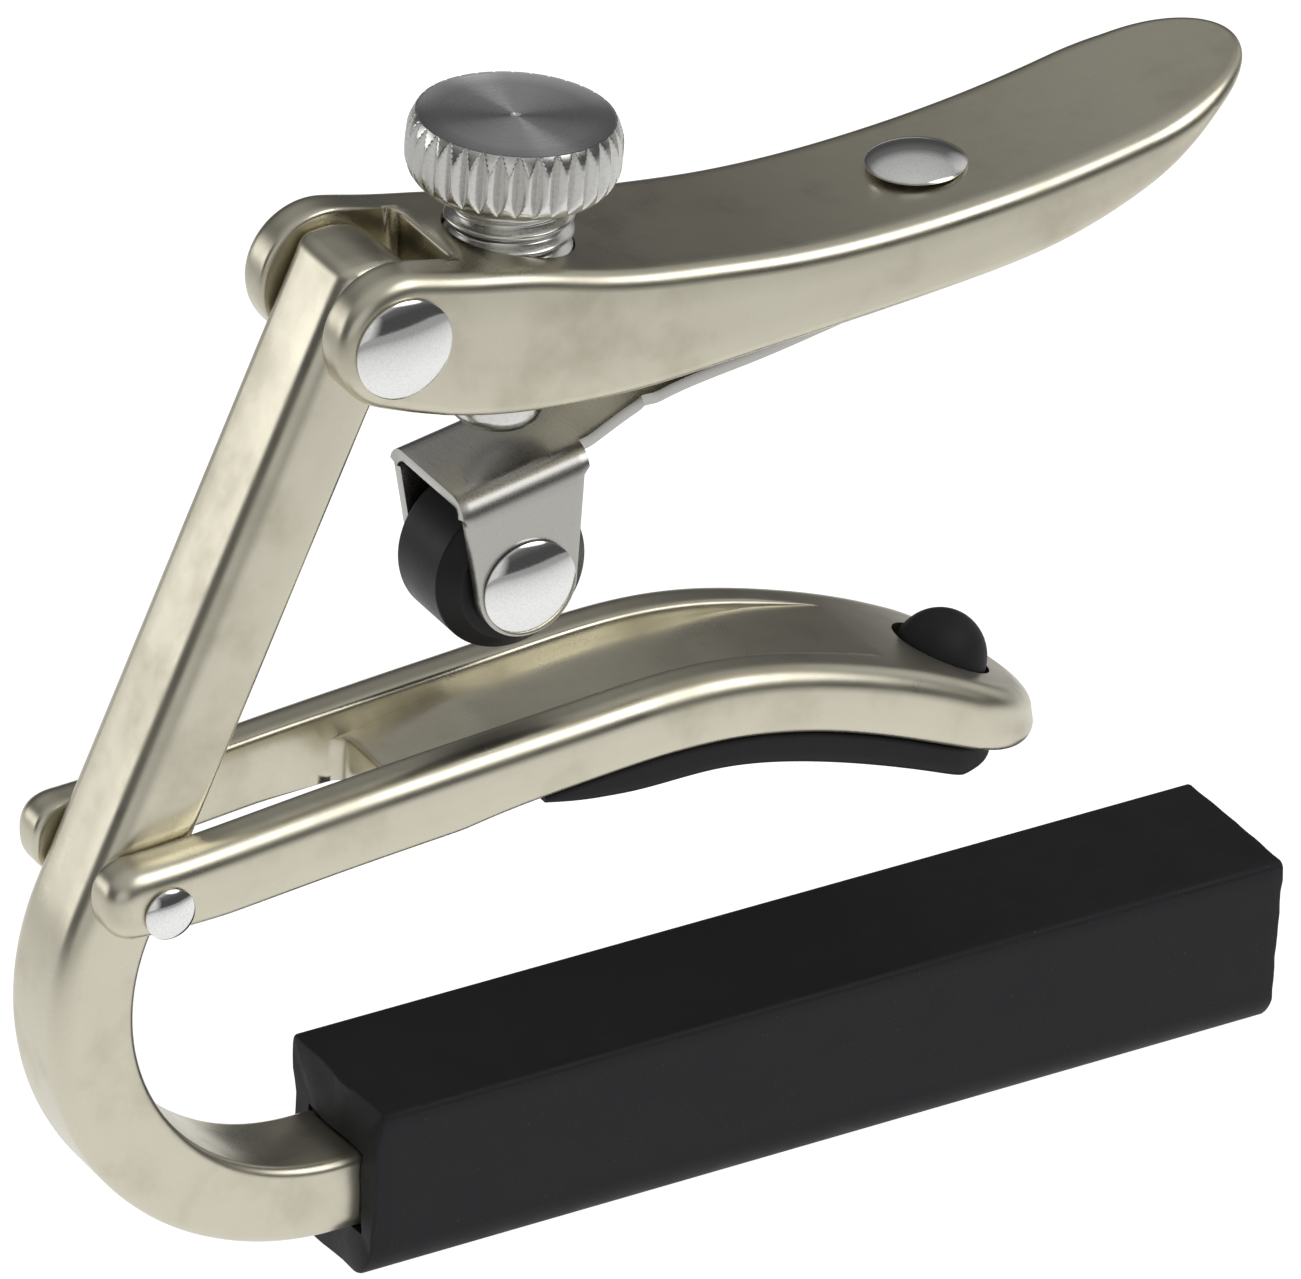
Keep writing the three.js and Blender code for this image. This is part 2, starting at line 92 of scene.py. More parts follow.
# ---------------------------------------------------------------- mesh helpers
def spline(points, start=None, end=None):
    """A smooth curve z(x) through the points, as a function."""
    x = np.array([p[0] for p in points], float)
    z = np.array([p[1] for p in points], float)
    n, h = len(x), np.diff(x)
    m, r = np.zeros((n, n)), np.zeros(n)
    for i in range(1, n - 1):
        m[i, i - 1:i + 2] = h[i - 1], 2 * (h[i - 1] + h[i]), h[i]
        r[i] = 6 * ((z[i + 1] - z[i]) / h[i] - (z[i] - z[i - 1]) / h[i - 1])
    m[0, 0] = m[-1, -1] = 1
    if start is not None:
        m[0, :2], r[0] = (2 * h[0], h[0]), 6 * ((z[1] - z[0]) / h[0] - start)
    if end is not None:
        m[-1, -2:], r[-1] = (h[-1], 2 * h[-1]), 6 * (end - (z[-1] - z[-2]) / h[-1])
    c = np.linalg.solve(m, r)

    def at(q):
        q = np.asarray(q, float)
        i = np.clip(np.searchsorted(x, q) - 1, 0, n - 2)
        a, b = x[i + 1] - q, q - x[i]
        return ((c[i] * a ** 3 + c[i + 1] * b ** 3) / (6 * h[i]) + (z[i] / h[i] - c[i] * h[i] / 6) * a
                + (z[i + 1] / h[i] - c[i + 1] * h[i] / 6) * b)
    return at


def ease(a, b, n, ends=(True, True)):
    """n steps from a to b, closer together towards the ends asked for."""
    t = np.linspace(0, 1, n)
    if ends == (True, True):
        t = (1 - np.cos(t * math.pi)) / 2
    elif ends[0]:
        t = 1 - np.cos(t * math.pi / 2)
    elif ends[1]:
        t = np.sin(t * math.pi / 2)
    return a + (b - a) * t


def outward(line, inside):
    """Unit normals of a polyline in X and Z, pointing away from the matching points inside."""
    d = np.gradient(line, axis=0)
    d /= np.maximum(np.linalg.norm(d, axis=1), 1e-9)[:, None]
    n = np.stack([d[:, 1], -d[:, 0]], 1)
    flip = np.sign(((line - inside) * n).sum(1))
    flip[flip == 0] = 1
    return n * flip[:, None]


class Skin:
    """Gathers grids of points, in mm, into one welded mesh."""

    def __init__(self):
        self.verts, self.faces = [], []

    def grid(self, p, loop=False):
        """Joins rows of points with quads; a loop closes each row."""
        p = np.asarray(p, float)
        rows, cols = p.shape[:2]
        base = len(self.verts)
        self.verts.extend(p.reshape(-1, 3).tolist())
        for i in range(rows - 1):
            for j in range(cols if loop else cols - 1):
                k = (j + 1) % cols
                self.faces.append((base + i * cols + j, base + i * cols + k,
                                   base + (i + 1) * cols + k, base + (i + 1) * cols + j))
        return self

    def moved(self, by):
        """Shifts all of it by (X, Z)."""
        self.verts = [(a + by[0], b, c + by[1]) for a, b, c in self.verts]
        return self

    def fan(self, ring):
        """Closes a ring with one flat face."""
        base = len(self.verts)
        self.verts.extend(np.asarray(ring, float).tolist())
        self.faces.append(tuple(range(base, base + len(ring))))
        return self

    def build(self, name, material, angle=38, weld=2e-6):
        mesh = bpy.data.meshes.new(name)
        mesh.from_pydata([tuple(c * MM for c in v) for v in self.verts], [], self.faces)
        bm = bmesh.new()
        bm.from_mesh(mesh)
        bmesh.ops.remove_doubles(bm, verts=bm.verts, dist=weld)
        bmesh.ops.dissolve_degenerate(bm, edges=bm.edges, dist=weld / 2)
        loose = [v for v in bm.verts if not v.link_faces]
        bmesh.ops.delete(bm, geom=loose, context="VERTS")
        bmesh.ops.recalc_face_normals(bm, faces=bm.faces)
        bm.to_mesh(mesh)
        bm.free()
        obj = bpy.data.objects.new(name, mesh)
        bpy.context.scene.collection.objects.link(obj)
        mesh.materials.append(material)
        shade(obj, angle)
        return obj


def shade(obj, angle=38):
    """Smooth shading, with edges sharper than the angle left crisp."""
    mesh = obj.data
    mesh.polygons.foreach_set("use_smooth", [True] * len(mesh.polygons))
    bm = bmesh.new()
    bm.from_mesh(mesh)
    for e in bm.edges:
        e.smooth = not (len(e.link_faces) == 2 and e.calc_face_angle(0) > angle * DEG)
    bm.to_mesh(mesh)
    bm.free()


def settle(obj):
    """Makes a piece's modifiers part of its mesh."""
    dg = bpy.context.evaluated_depsgraph_get()
    mesh = bpy.data.meshes.new_from_object(obj.evaluated_get(dg))
    obj.modifiers.clear()
    obj.data = mesh
    return obj


def cut(obj, *tools):
    """Takes the tools out of a piece, and deletes them."""
    for tool in tools:
        m = obj.modifiers.new("cut", "BOOLEAN")
        m.operation, m.solver, m.object = "DIFFERENCE", "EXACT", tool
    settle(obj)
    for tool in tools:
        bpy.data.objects.remove(tool)
    return obj


def lathe(skin, profile, axis, centre, segments=64):
    """Turns a profile of (radius, distance) about an axis through centre (X, Y, Z in mm)."""
    axis = np.array(axis, float) / np.linalg.norm(axis)
    side = np.cross(axis, [0.0, 0.0, 1.0] if abs(axis[2]) < 0.9 else [0.0, 1.0, 0.0])
    side /= np.linalg.norm(side)
    third = np.cross(axis, side)
    turn = np.linspace(0, 2 * math.pi, segments, endpoint=False)
    ring = np.cos(turn)[:, None] * side + np.sin(turn)[:, None] * third
    rows = [np.array(centre) + h * axis + r * ring for r, h in profile]
    return skin.grid(rows, loop=True)


def arc(cx, cy, r, a, b, n):
    """n points of an arc about (cx, cy), from a to b degrees."""
    t = np.linspace(a * DEG, b * DEG, n)
    return [(cx + r * math.cos(q), cy + r * math.sin(q)) for q in t]


# ---------------------------------------------------------------- materials
def nodes_for(name):
    """A new material, with what its nodes start from."""
    mat = bpy.data.materials.new(name)
    mat.use_nodes = True
    tree = mat.node_tree
    shader = tree.nodes["Principled BSDF"]
    coord = tree.nodes.new("ShaderNodeTexCoord")
    return mat, tree, shader, coord


def noise(tree, coord, scale, detail=4, rough=0.55, stretch=(1, 1, 1)):
    """Noise fixed to the piece, with scale in features per mm."""
    mapping = tree.nodes.new("ShaderNodeMapping")
    mapping.inputs["Scale"].default_value = [1000 * s for s in stretch]
    tree.links.new(coord.outputs["Object"], mapping.inputs["Vector"])
    n = tree.nodes.new("ShaderNodeTexNoise")
    n.inputs["Scale"].default_value = scale
    n.inputs["Detail"].default_value = detail
    n.inputs["Roughness"].default_value = rough
    tree.links.new(mapping.outputs["Vector"], n.inputs["Vector"])
    return n.outputs["Fac"]


def ramp(tree, fac, stops):
    r = tree.nodes.new("ShaderNodeValToRGB")
    while len(r.color_ramp.elements) < len(stops):
        r.color_ramp.elements.new(0.5)
    for e, (pos, colour) in zip(r.color_ramp.elements, stops):
        e.position = pos
        e.color = (*colour, 1) if isinstance(colour, tuple) else (colour, colour, colour, 1)
    tree.links.new(fac, r.inputs["Fac"])
    return r.outputs["Color"]


def span(tree, fac, low, high, start=0.3, stop=0.7):
    """Goes from low to high while fac goes from start to stop."""
    m = tree.nodes.new("ShaderNodeMapRange")
    m.inputs["From Min"].default_value = start
    m.inputs["From Max"].default_value = stop
    m.inputs["To Min"].default_value = low
    m.inputs["To Max"].default_value = high
    tree.links.new(fac, m.inputs["Value"])
    return m.outputs["Result"]


def bump(tree, shader, height, depth_mm, strength=1.0, under=None):
    """Relief of the given depth, on top of any relief under it."""
    b = tree.nodes.new("ShaderNodeBump")
    b.inputs["Strength"].default_value = strength
    b.inputs["Distance"].default_value = depth_mm * MM
    tree.links.new(height, b.inputs["Height"])
    if under is not None:
        tree.links.new(under, b.inputs["Normal"])
    tree.links.new(b.outputs["Normal"], shader.inputs["Normal"])
    return b.outputs["Normal"]


def nickel(name, light=(0.64, 0.605, 0.49), dark=(0.54, 0.505, 0.395), rough=(0.24, 0.36)):
    """Satin nickel plate over a polished casting: fine grain, faint cloudy patches."""
    mat, tree, shader, coord = nodes_for(name)
    shader.inputs["Metallic"].default_value = 1.0
    clouds = noise(tree, coord, 0.22, 5, 0.6)
    grain = noise(tree, coord, 5.5, 3, 0.7)
    plate = ramp(tree, clouds, [(0.25, dark), (0.5, light), (0.8, light)])
    tree.links.new(plate, shader.inputs["Base Color"])
    tree.links.new(span(tree, clouds, rough[1], rough[0]), shader.inputs["Roughness"])
    soft = bump(tree, shader, noise(tree, coord, 0.5, 2, 0.5), 0.02, 0.5)
    bump(tree, shader, grain, 0.004, 0.5, soft)
    return mat


def steel(name, colour, rough, streak=(1, 1, 1), scale=6.0, depth=0.003):
    """Plated or stainless steel with fine directional tool lines."""
    mat, tree, shader, coord = nodes_for(name)
    shader.inputs["Metallic"].default_value = 1.0
    lines = noise(tree, coord, scale, 4, 0.7, streak)
    shade_of = [tuple(c * f for c in colour) for f in (0.85, 1.0, 1.0)]
    tree.links.new(ramp(tree, lines, [(0.3, shade_of[0]), (0.55, shade_of[1]), (0.9, shade_of[2])]),
                   shader.inputs["Base Color"])
    tree.links.new(span(tree, lines, rough[0], rough[1]), shader.inputs["Roughness"])
    bump(tree, shader, lines, depth, 0.6)
    return mat


def rubber(name, base, lift, rough=(0.5, 0.68), speck=0.02, grain=2.2):
    """Moulded black rubber: matte, finely grained, with faint dust."""
    mat, tree, shader, coord = nodes_for(name)
    shader.inputs["Specular IOR Level"].default_value = 0.22
    cloud = noise(tree, coord, 0.35, 5, 0.65)
    dust = noise(tree, coord, 9.0, 2, 0.5)
    under = ramp(tree, cloud, [(0.3, base), (0.75, lift)])
    flecks = ramp(tree, dust, [(0.70, 0.0), (0.78, 1.0)])
    mix = tree.nodes.new("ShaderNodeMix")
    mix.data_type = "RGBA"
    mix.blend_type = "ADD"
    mix.inputs["Factor"].default_value = speck
    tree.links.new(under, mix.inputs["A"])
    tree.links.new(flecks, mix.inputs["B"])
    tree.links.new(mix.outputs["Result"], shader.inputs["Base Color"])
    tree.links.new(span(tree, cloud, rough[0], rough[1]), shader.inputs["Roughness"])
    bump(tree, shader, noise(tree, coord, grain, 5, 0.6), 0.03, 0.35)
    return mat


NICKEL = nickel("nickel_satin")
NICKEL_BAR = nickel("nickel_bar")
POLISHED = steel("rivet_polished", (0.86, 0.86, 0.85), (0.07, 0.11), scale=9.0, depth=0.0008)
KNOB = steel("screw_turned", (0.74, 0.735, 0.71), (0.16, 0.28), scale=4.0, depth=0.003)
SPRING = steel("spring_brushed", (0.50, 0.49, 0.46), (0.24, 0.36), (6, 0.35, 6), 2.2, 0.004)
RUBBER = rubber("sleeve_rubber", (0.008, 0.0084, 0.0097), (0.015, 0.0155, 0.0175), speck=0.05)
PAD = rubber("pad_rubber", (0.010, 0.010, 0.011), (0.020, 0.020, 0.022))
PLASTIC = rubber("roller_plastic", (0.011, 0.011, 0.012), (0.017, 0.017, 0.018), (0.34, 0.46), 0.01, 3.0)


def turned_top(name):
    """The screw's turned face: rings cut by a lathe, so highlights fan out in wedges."""
    mat, tree, shader, coord = nodes_for(name)
    shader.inputs["Metallic"].default_value = 1.0
    shader.inputs["Base Color"].default_value = (0.62, 0.62, 0.61, 1)
    shader.inputs["Anisotropic"].default_value = 0.95
    shader.inputs["Anisotropic Rotation"].default_value = 0.25
    attribute = tree.nodes.new("ShaderNodeAttribute")
    attribute.attribute_name = "ring"
    n = tree.nodes.new("ShaderNodeTexNoise")
    n.noise_dimensions = "1D"
    n.inputs["Scale"].default_value = 26.0
    n.inputs["Detail"].default_value = 3
    tree.links.new(attribute.outputs["Fac"], n.inputs["W"])
    tree.links.new(span(tree, n.outputs["Fac"], 0.26, 0.34), shader.inputs["Roughness"])
    tree.links.new(ramp(tree, n.outputs["Fac"], [(0.3, 0.52), (0.7, 0.74)]), shader.inputs["Base Color"])
    bump(tree, shader, n.outputs["Fac"], 0.004, 0.6)
    tangent = tree.nodes.new("ShaderNodeTangent")
    tangent.direction_type = "RADIAL"
    tangent.axis = "Z"
    tree.links.new(tangent.outputs["Tangent"], shader.inputs["Tangent"])
    return mat


TURNED = turned_top("screw_face")


def finish_piece(obj, body, slot, *nodes):
    """Hands a piece to its body and hides the CAD nodes that it stands for. slot is not used."""
    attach(obj, body)
    if nodes:
        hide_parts(*nodes)
    return obj


# ---------------------------------------------------------------- forked castings
def casting(skin, x, top, foot, tip, slot, track, r_top, r_foot, crotch=None, corner=0.0, lip=0.3):
    """A bar seen from the side: top and foot are its matched curves at each x, r_top and r_foot its edges.

    tip is its half width, where its half-oval tip starts and how long that is. With a crotch it is a fork
    with round ends on the left: slot is the half gap, corner its fillet, track the depth of the floor behind
    it and lip the radius of the inner edges. All in mm.
    """
    n = len(x)
    half, start, length = tip
    sweep = np.arcsin(np.clip((x - start) / length, 0, 1))
    in_x, in_y = np.sin(sweep), np.cos(sweep)
    thick = np.maximum(top - foot, 0)
    nose = np.zeros(n) if crotch is None else np.clip((crotch - 2 - x) / 2, 0, 1)
    limit = thick * 0.45 + 9 * nose
    to_top = np.clip((3.5 - x) / 5, 0, 1) * (nose > 0)
    upper_r = np.minimum(r_top, limit)
    lower_r = np.minimum(r_foot + (r_top - r_foot) * to_top, limit)
    upper_x, lower_x = x - upper_r * in_x, x - lower_r * in_x
    upper = np.stack([upper_x, np.interp(upper_x, x, top)], 1)
    lower = np.stack([lower_x, np.interp(lower_x, x, foot)], 1)
    mid = (upper + lower) / 2
    up, down = outward(upper, mid), outward(lower, mid)
    if crotch is not None:
        up[0] = down[0] = (-1, 0)
    up = up * (1 - in_x)[:, None] + np.array([0, 1]) * in_x[:, None]
    down = down * (1 - in_x)[:, None] - np.array([0, 1]) * in_x[:, None]
    up /= np.linalg.norm(up, axis=1)[:, None]
    down /= np.linalg.norm(down, axis=1)[:, None]
    gap = np.minimum(slot, (half - np.maximum(upper_r, lower_r)) * in_y * 0.8)
    first = 0 if crotch is None else int(np.argmin(abs(x - (crotch - corner))))
    near = np.zeros(n) if crotch is None else np.clip((crotch - corner - x) / 4.0, 0, 1)
    lip_top = np.minimum(np.maximum(lip * near, np.minimum(lip, track)), limit)
    lip_foot = np.minimum(lip * near, limit)
    floor = np.minimum(np.maximum(track, lip_top), thick * 0.8)
    floor = np.where(np.arange(n) < first, lip_top, floor)

    def outer_edge(i, phi, line, curve, normal, radius):
        """A point of the rounded edge, phi going from the flat to the side."""
        inset = radius[i] * (1 - math.sin(phi))
        px = x[i] - inset * in_x[i] if in_x[i] > 0 else line[i, 0]
        pz = np.interp(px, x, curve) if in_x[i] > 0 else line[i, 1]
        drop = normal[i] * radius[i] * (1 - math.cos(phi))
        return px - drop[0], (half - inset) * in_y[i], pz - drop[1]

    def inner_edge(i, phi, line, normal, radius):
        """A point of the rounded edge of the gap, phi going from the flat to the wall."""
        px, pz = line[i] - normal[i] * radius[i] * (1 - math.cos(phi))
        return px, gap[i] + radius[i] * in_y[i] * (1 - math.sin(phi)), pz

    def on_wall(i, a, b, share):
        """A point of the gap's wall between a and b."""
        px, pz = a + (b - a) * share
        return px, gap[i], pz

    quarter, lip_arc = np.linspace(0, math.pi / 2, 7), np.linspace(0, math.pi / 2, 5)
    outer, ledge, wall = [], [], []
    for i in range(n):
        y_top, y_foot = gap[i] + lip_top[i] * in_y[i], gap[i] + lip_foot[i] * in_y[i]
        top_flat, foot_flat = (half - upper_r[i]) * in_y[i] - y_top, (half - lower_r[i]) * in_y[i] - y_foot
        row = [(upper[i, 0], y_top + top_flat * share, upper[i, 1]) for share in (0, 0.25, 0.5, 0.75)]
        row += [outer_edge(i, phi, upper, top, up, upper_r) for phi in quarter]
        below = [outer_edge(i, phi, lower, foot, down, lower_r) for phi in quarter[::-1]]
        side_top, side_foot = np.array(row[-1]), np.array(below[0])
        row += [tuple(side_top + (side_foot - side_top) * share) for share in (0.33, 0.67)] + below
        row += [(lower[i, 0], y_foot + foot_flat * share, lower[i, 1]) for share in (0.75, 0.5, 0.25, 0)]
        outer.append(row)
        brink, bed = upper[i] - up[i] * lip_top[i], upper[i] - up[i] * floor[i]
        sill = lower[i] - down[i] * lip_foot[i]
        ledge.append([inner_edge(i, phi, upper, up, lip_top) for phi in lip_arc]
                     + [on_wall(i, brink, bed, share) for share in (0.33, 0.67, 1)])
        wall.append([on_wall(i, bed, sill, share) for share in np.linspace(0, 1, 6)]
                    + [inner_edge(i, phi, lower, down, lip_foot) for phi in lip_arc[-2::-1]])
    outer, ledge, wall = np.array(outer), np.array(ledge), np.array(wall)
    for side in ((1, 1, 1), (1, -1, 1)):
        skin.grid(outer * side)
        skin.grid(ledge * side)
        if crotch is not None:
            skin.grid(wall[:first + 1] * side)
    across = np.sin(np.linspace(-math.pi / 2, math.pi / 2, 17))
    behind = range(first, n)
    tops = np.array([[(ledge[i, -1, 0], y, ledge[i, -1, 2]) for y in across * gap[i]] for i in behind])
    feet = np.array([[(lower[i, 0], y, lower[i, 1]) for y in across * gap[i]] for i in behind])
    if crotch is None:
        skin.grid(tops)
        skin.grid(feet)
        near_side, far_side = outer[0], outer[0] * (1, -1, 1)
        return skin.fan(np.concatenate([near_side, feet[0][::-1][1:-1], far_side[::-1], tops[0][1:-1]]))
    reach = np.maximum(abs(across) * slot - (slot - corner), 0)
    shift = np.sqrt(np.maximum(corner ** 2 - reach ** 2, 0))
    inside = 1 - abs(across) ** 8
    brow = []
    for dx, dz in ((0, 0.32), (0.05, 0.16), (0.16, 0.05)):
        row = tops[0].copy()
        row[:, 0] += shift + dx * inside
        row[:, 2] = np.interp(row[:, 0], tops[:, 0, 0], tops[:, 0, 2]) - dz * inside
        brow.append(row)
    for face, push in ((tops, shift + 0.32 * inside), (feet, shift)):
        line_x, line_z = face[:, 0, 0].copy(), face[:, 0, 2].copy()
        fade = np.clip(1 - (line_x - line_x[0]) / (2 * corner + 1), 0, 1)
        face[:, :, 0] += fade[:, None] * push
        face[:, :, 2] = np.interp(face[:, :, 0], line_x, line_z)
    skin.grid(np.concatenate([np.array(brow), tops]))
    skin.grid(feet)
    skin.grid([brow[0] + (feet[0] - brow[0]) * share for share in np.linspace(0, 1, 6)])
    return skin


def tip_stations(start, length, n=30):
    """Stations along a half-oval tip, closer together towards its end."""
    return start + length * np.sin(np.linspace(0, math.pi / 2, n))


# ---------------------------------------------------------------- cam lever
EYE_X, EYE_R = 0.3, 3.8
EYE_TOP_END, EYE_FOOT_END = 1.09, -1.11
lever_top = spline([(EYE_TOP_END, 3.72), (3.6, 3.12), (8.2, 2.15), (11.6, 1.22), (15.3, 0.45), (18.6, 0.0),
                    (23, -0.5), (28.5, -0.7), (33.6, -0.5), (39.6, 0.12), (45.6, 1.2), (50, 2.25),
                    (53.1, 3.0)], start=-0.21)
lever_foot = spline([(EYE_FOOT_END, -3.53), (2.3, -4.75), (5.8, -5.6), (11, -6.2), (14.5, -6.28), (20, -5.95),
                     (27, -5.5), (33.6, -4.95), (38.2, -4.35), (41.5, -3.5), (44.5, -2.3), (47.5, -0.7),
                     (50.5, 1.0), (53.1, 2.0)], start=-0.4)
LEVER_TIP_X, LEVER_TIP_LENGTH = 44.8, 8.3
LEVER_SLOT, LEVER_CROTCH, LEVER_CORNER = 3.25, 4.4, 0.6
LEVER_TOP_EDGE, LEVER_FOOT_EDGE = 0.95, 0.7
x = np.unique(np.round(np.concatenate([
    ease(EYE_X - EYE_R, 3.0, 44, (True, False)), np.linspace(3.0, LEVER_CROTCH - LEVER_CORNER, 4),
    np.linspace(LEVER_CROTCH + 0.4, LEVER_TIP_X, 70), tip_stations(LEVER_TIP_X, LEVER_TIP_LENGTH)]), 5))
circle = np.sqrt(np.maximum(EYE_R ** 2 - (x - EYE_X) ** 2, 0))
z_top = np.where(x < EYE_TOP_END, circle, lever_top(np.maximum(x, EYE_TOP_END)))
z_foot = np.where(x < EYE_FOOT_END, -circle, lever_foot(np.maximum(x, EYE_FOOT_END)))
skin = casting(Skin(), x, z_top, z_foot, (CASTING_HALF, LEVER_TIP_X, LEVER_TIP_LENGTH), LEVER_SLOT,
               np.zeros_like(x), LEVER_TOP_EDGE, LEVER_FOOT_EDGE, LEVER_CROTCH, LEVER_CORNER)
lever = skin.moved(LEVER).build("lever_body", NICKEL)

SCREW_TILT = math.atan2(-JOINTS["screw_turn"]["axis"][0], -JOINTS["screw_turn"]["axis"][2])
SCREW_AXIS = np.array([math.sin(SCREW_TILT), 0, math.cos(SCREW_TILT)])
SCREW = np.array([place("screw_turn")[0], 0, place("screw_turn")[1]])
SCREW_HOLE, SCREW_DISH = 3.55, 4.6
profile = [(0, -14), (SCREW_HOLE, -14), (SCREW_HOLE, 1.6), (SCREW_HOLE, 1.9),
           (SCREW_DISH, 5.0), (SCREW_DISH, 9), (0, 9)]
cut(lever, lathe(Skin(), profile, SCREW_AXIS, SCREW, 72).build("tool", NICKEL))
shade(lever)
finish_piece(lever, "lever", "nickel", "cam_lever")

# ---------------------------------------------------------------- jaw arm
arm_top = spline([(0.9, 2.62), (10.3, 3.45), (15.5, 3.85), (20.5, 4.2), (25, 4.5), (29.5, 4.78), (33, 4.75),
                  (36.6, 4.3), (41.5, 3.0), (46.5, 1.1), (50, -0.65), (54.6, -3.4)], start=0.07)
arm_foot = spline([(-1.1, -1.6), (7.7, -1.3), (13.6, -0.85), (19.6, 0.12), (25.6, 0.72), (30.4, 0.98),
                   (35.3, 0.65), (40.2, -0.5), (45.1, -2.35), (50.7, -4.75), (54.6, -6.3)], start=0.03)
ARM_END, NOSE_X, NOSE_Z, NOSE_TOP, NOSE_FOOT = -3.3, -1.0, 0.42, 2.13, 2.02
BACK_X, BACK_RISE = 0.9, 0.07
ARM_CROTCH, ARM_CORNER, ARM_SLOT, ARM_LIP = 15.0, 1.0, 3.1, 0.35
ARM_TOP_EDGE, ARM_FOOT_EDGE = 1.25, 0.7
ARM_TIP_X, ARM_TIP_LENGTH = 49.3, 5.2
x = np.unique(np.round(np.concatenate([
    ease(ARM_END, BACK_X, 30, (True, False)), np.linspace(BACK_X, ARM_CROTCH - ARM_CORNER, 20),
    np.linspace(ARM_CROTCH + 0.4, ARM_TIP_X, 72), tip_stations(ARM_TIP_X, ARM_TIP_LENGTH)]), 5))
nose = np.maximum(1 - np.clip((x - NOSE_X) / (ARM_END - NOSE_X), 0, 1) ** 2.5, 0) ** 0.4
z_top = np.where(x < NOSE_X, NOSE_Z + NOSE_TOP * nose, arm_top(np.maximum(x, BACK_X)))
back = (x >= NOSE_X) & (x < BACK_X)
z_top[back] = NOSE_Z + NOSE_TOP + (x[back] - NOSE_X) * BACK_RISE / (BACK_X - NOSE_X)
z_foot = np.where(x < NOSE_X, NOSE_Z - NOSE_FOOT * nose, arm_foot(np.maximum(x, -1.1)))
z_foot = np.maximum(z_foot, z_top - 4.2)
tip_foot = spline([(48, -3.6), (50.7, -4.55), (54.6, -5.3)])
z_foot = np.where(x > 49, np.maximum(z_foot, tip_foot(np.maximum(x, 48))), z_foot)
track = np.interp(x, [0, 15, 21, 34, 38, 44], [1.8, 1.7, 1.0, 0.85, 0.5, 0.0])
skin = casting(Skin(), x, z_top, z_foot, (CASTING_HALF, ARM_TIP_X, ARM_TIP_LENGTH), ARM_SLOT, track,
               ARM_TOP_EDGE, ARM_FOOT_EDGE, ARM_CROTCH, ARM_CORNER, ARM_LIP)
arm = skin.moved(ARM).build("arm_body", NICKEL)

HOLE_TILT = 26 * DEG
HOLE_AXIS = np.array([math.sin(HOLE_TILT), 0, math.cos(HOLE_TILT)])
hole = np.array([ARM[0] + 48.9, 0, ARM[1] - 2.2])
HOLE_R, HOLE_RIM = 2.9, 3.5
profile = [(0, -6), (HOLE_R, -6), (HOLE_R, 2.0), (HOLE_RIM, 3.6), (HOLE_RIM, 8), (0, 8)]
cut(arm, lathe(Skin(), profile, HOLE_AXIS, hole, 72).build("tool", NICKEL))
shade(arm)
finish_piece(arm, "arm", "nickel", "neck_arm")

# ---------------------------------------------------------------- pad and its knob
PAD_X, PAD_HALF, PAD_TIP_X, PAD_TIP_LENGTH = 22.6, 5.35, 47.1, 4.8
PAD_TOP_EDGE, PAD_FOOT_EDGE = 0.2, 0.7
PAD_TOE_X, PAD_TOE_Z, PAD_TOE_SLOPE = 48.3, -5.7, 0.08
pad_foot = spline([(PAD_X, 0.05), (24.2, -0.4), (28.3, -0.98), (33, -1.02), (38, -1.92), (42.9, -3.5),
                   (PAD_TOE_X, PAD_TOE_Z), (51.9, -7.4)])
x = np.unique(np.round(np.concatenate([ease(PAD_X, 26, 14, (True, False)), np.linspace(26, PAD_TIP_X, 44),
                                       tip_stations(PAD_TIP_X, PAD_TIP_LENGTH, 24)]), 5))
z_top = np.minimum(arm_foot(x) - 0.1, 3)
z_top = np.where(x > 49, np.minimum(z_top, tip_foot(np.maximum(x, 48)) - 0.15), z_top)
z_foot = np.minimum(pad_foot(x), z_top - 0.02)
toe = PAD_TOE_Z - (x - PAD_TOE_X) * PAD_TOE_SLOPE
z_foot = np.where(x > PAD_TOE_X, np.maximum(z_foot, toe), z_foot)
z_foot = np.minimum(z_foot, z_top - 0.35 * np.clip(x - PAD_X, 0, 1))
skin = casting(Skin(), x, z_top, z_foot, (PAD_HALF, PAD_TIP_X, PAD_TIP_LENGTH), 2.0, np.zeros_like(x),
               PAD_TOP_EDGE, PAD_FOOT_EDGE)
DOME_R, DOME_Z, DOME_RISE = 2.62, 3.05, 2.75
dome_arc = [(DOME_R * math.cos(q), DOME_Z + DOME_RISE * math.sin(q))
            for q in np.linspace(0.1, math.pi / 2 - 0.05, 14)]
profile = [(0, -1.0), (DOME_R, -1.0), (DOME_R, DOME_Z), *dome_arc, (0, DOME_Z + DOME_RISE)]
lathe(skin, profile, HOLE_AXIS, (48.25, 0, -3.8), 56)
pad = skin.moved(ARM).build("pad_body", PAD)
finish_piece(pad, "arm", "rubber", "neck_pad")


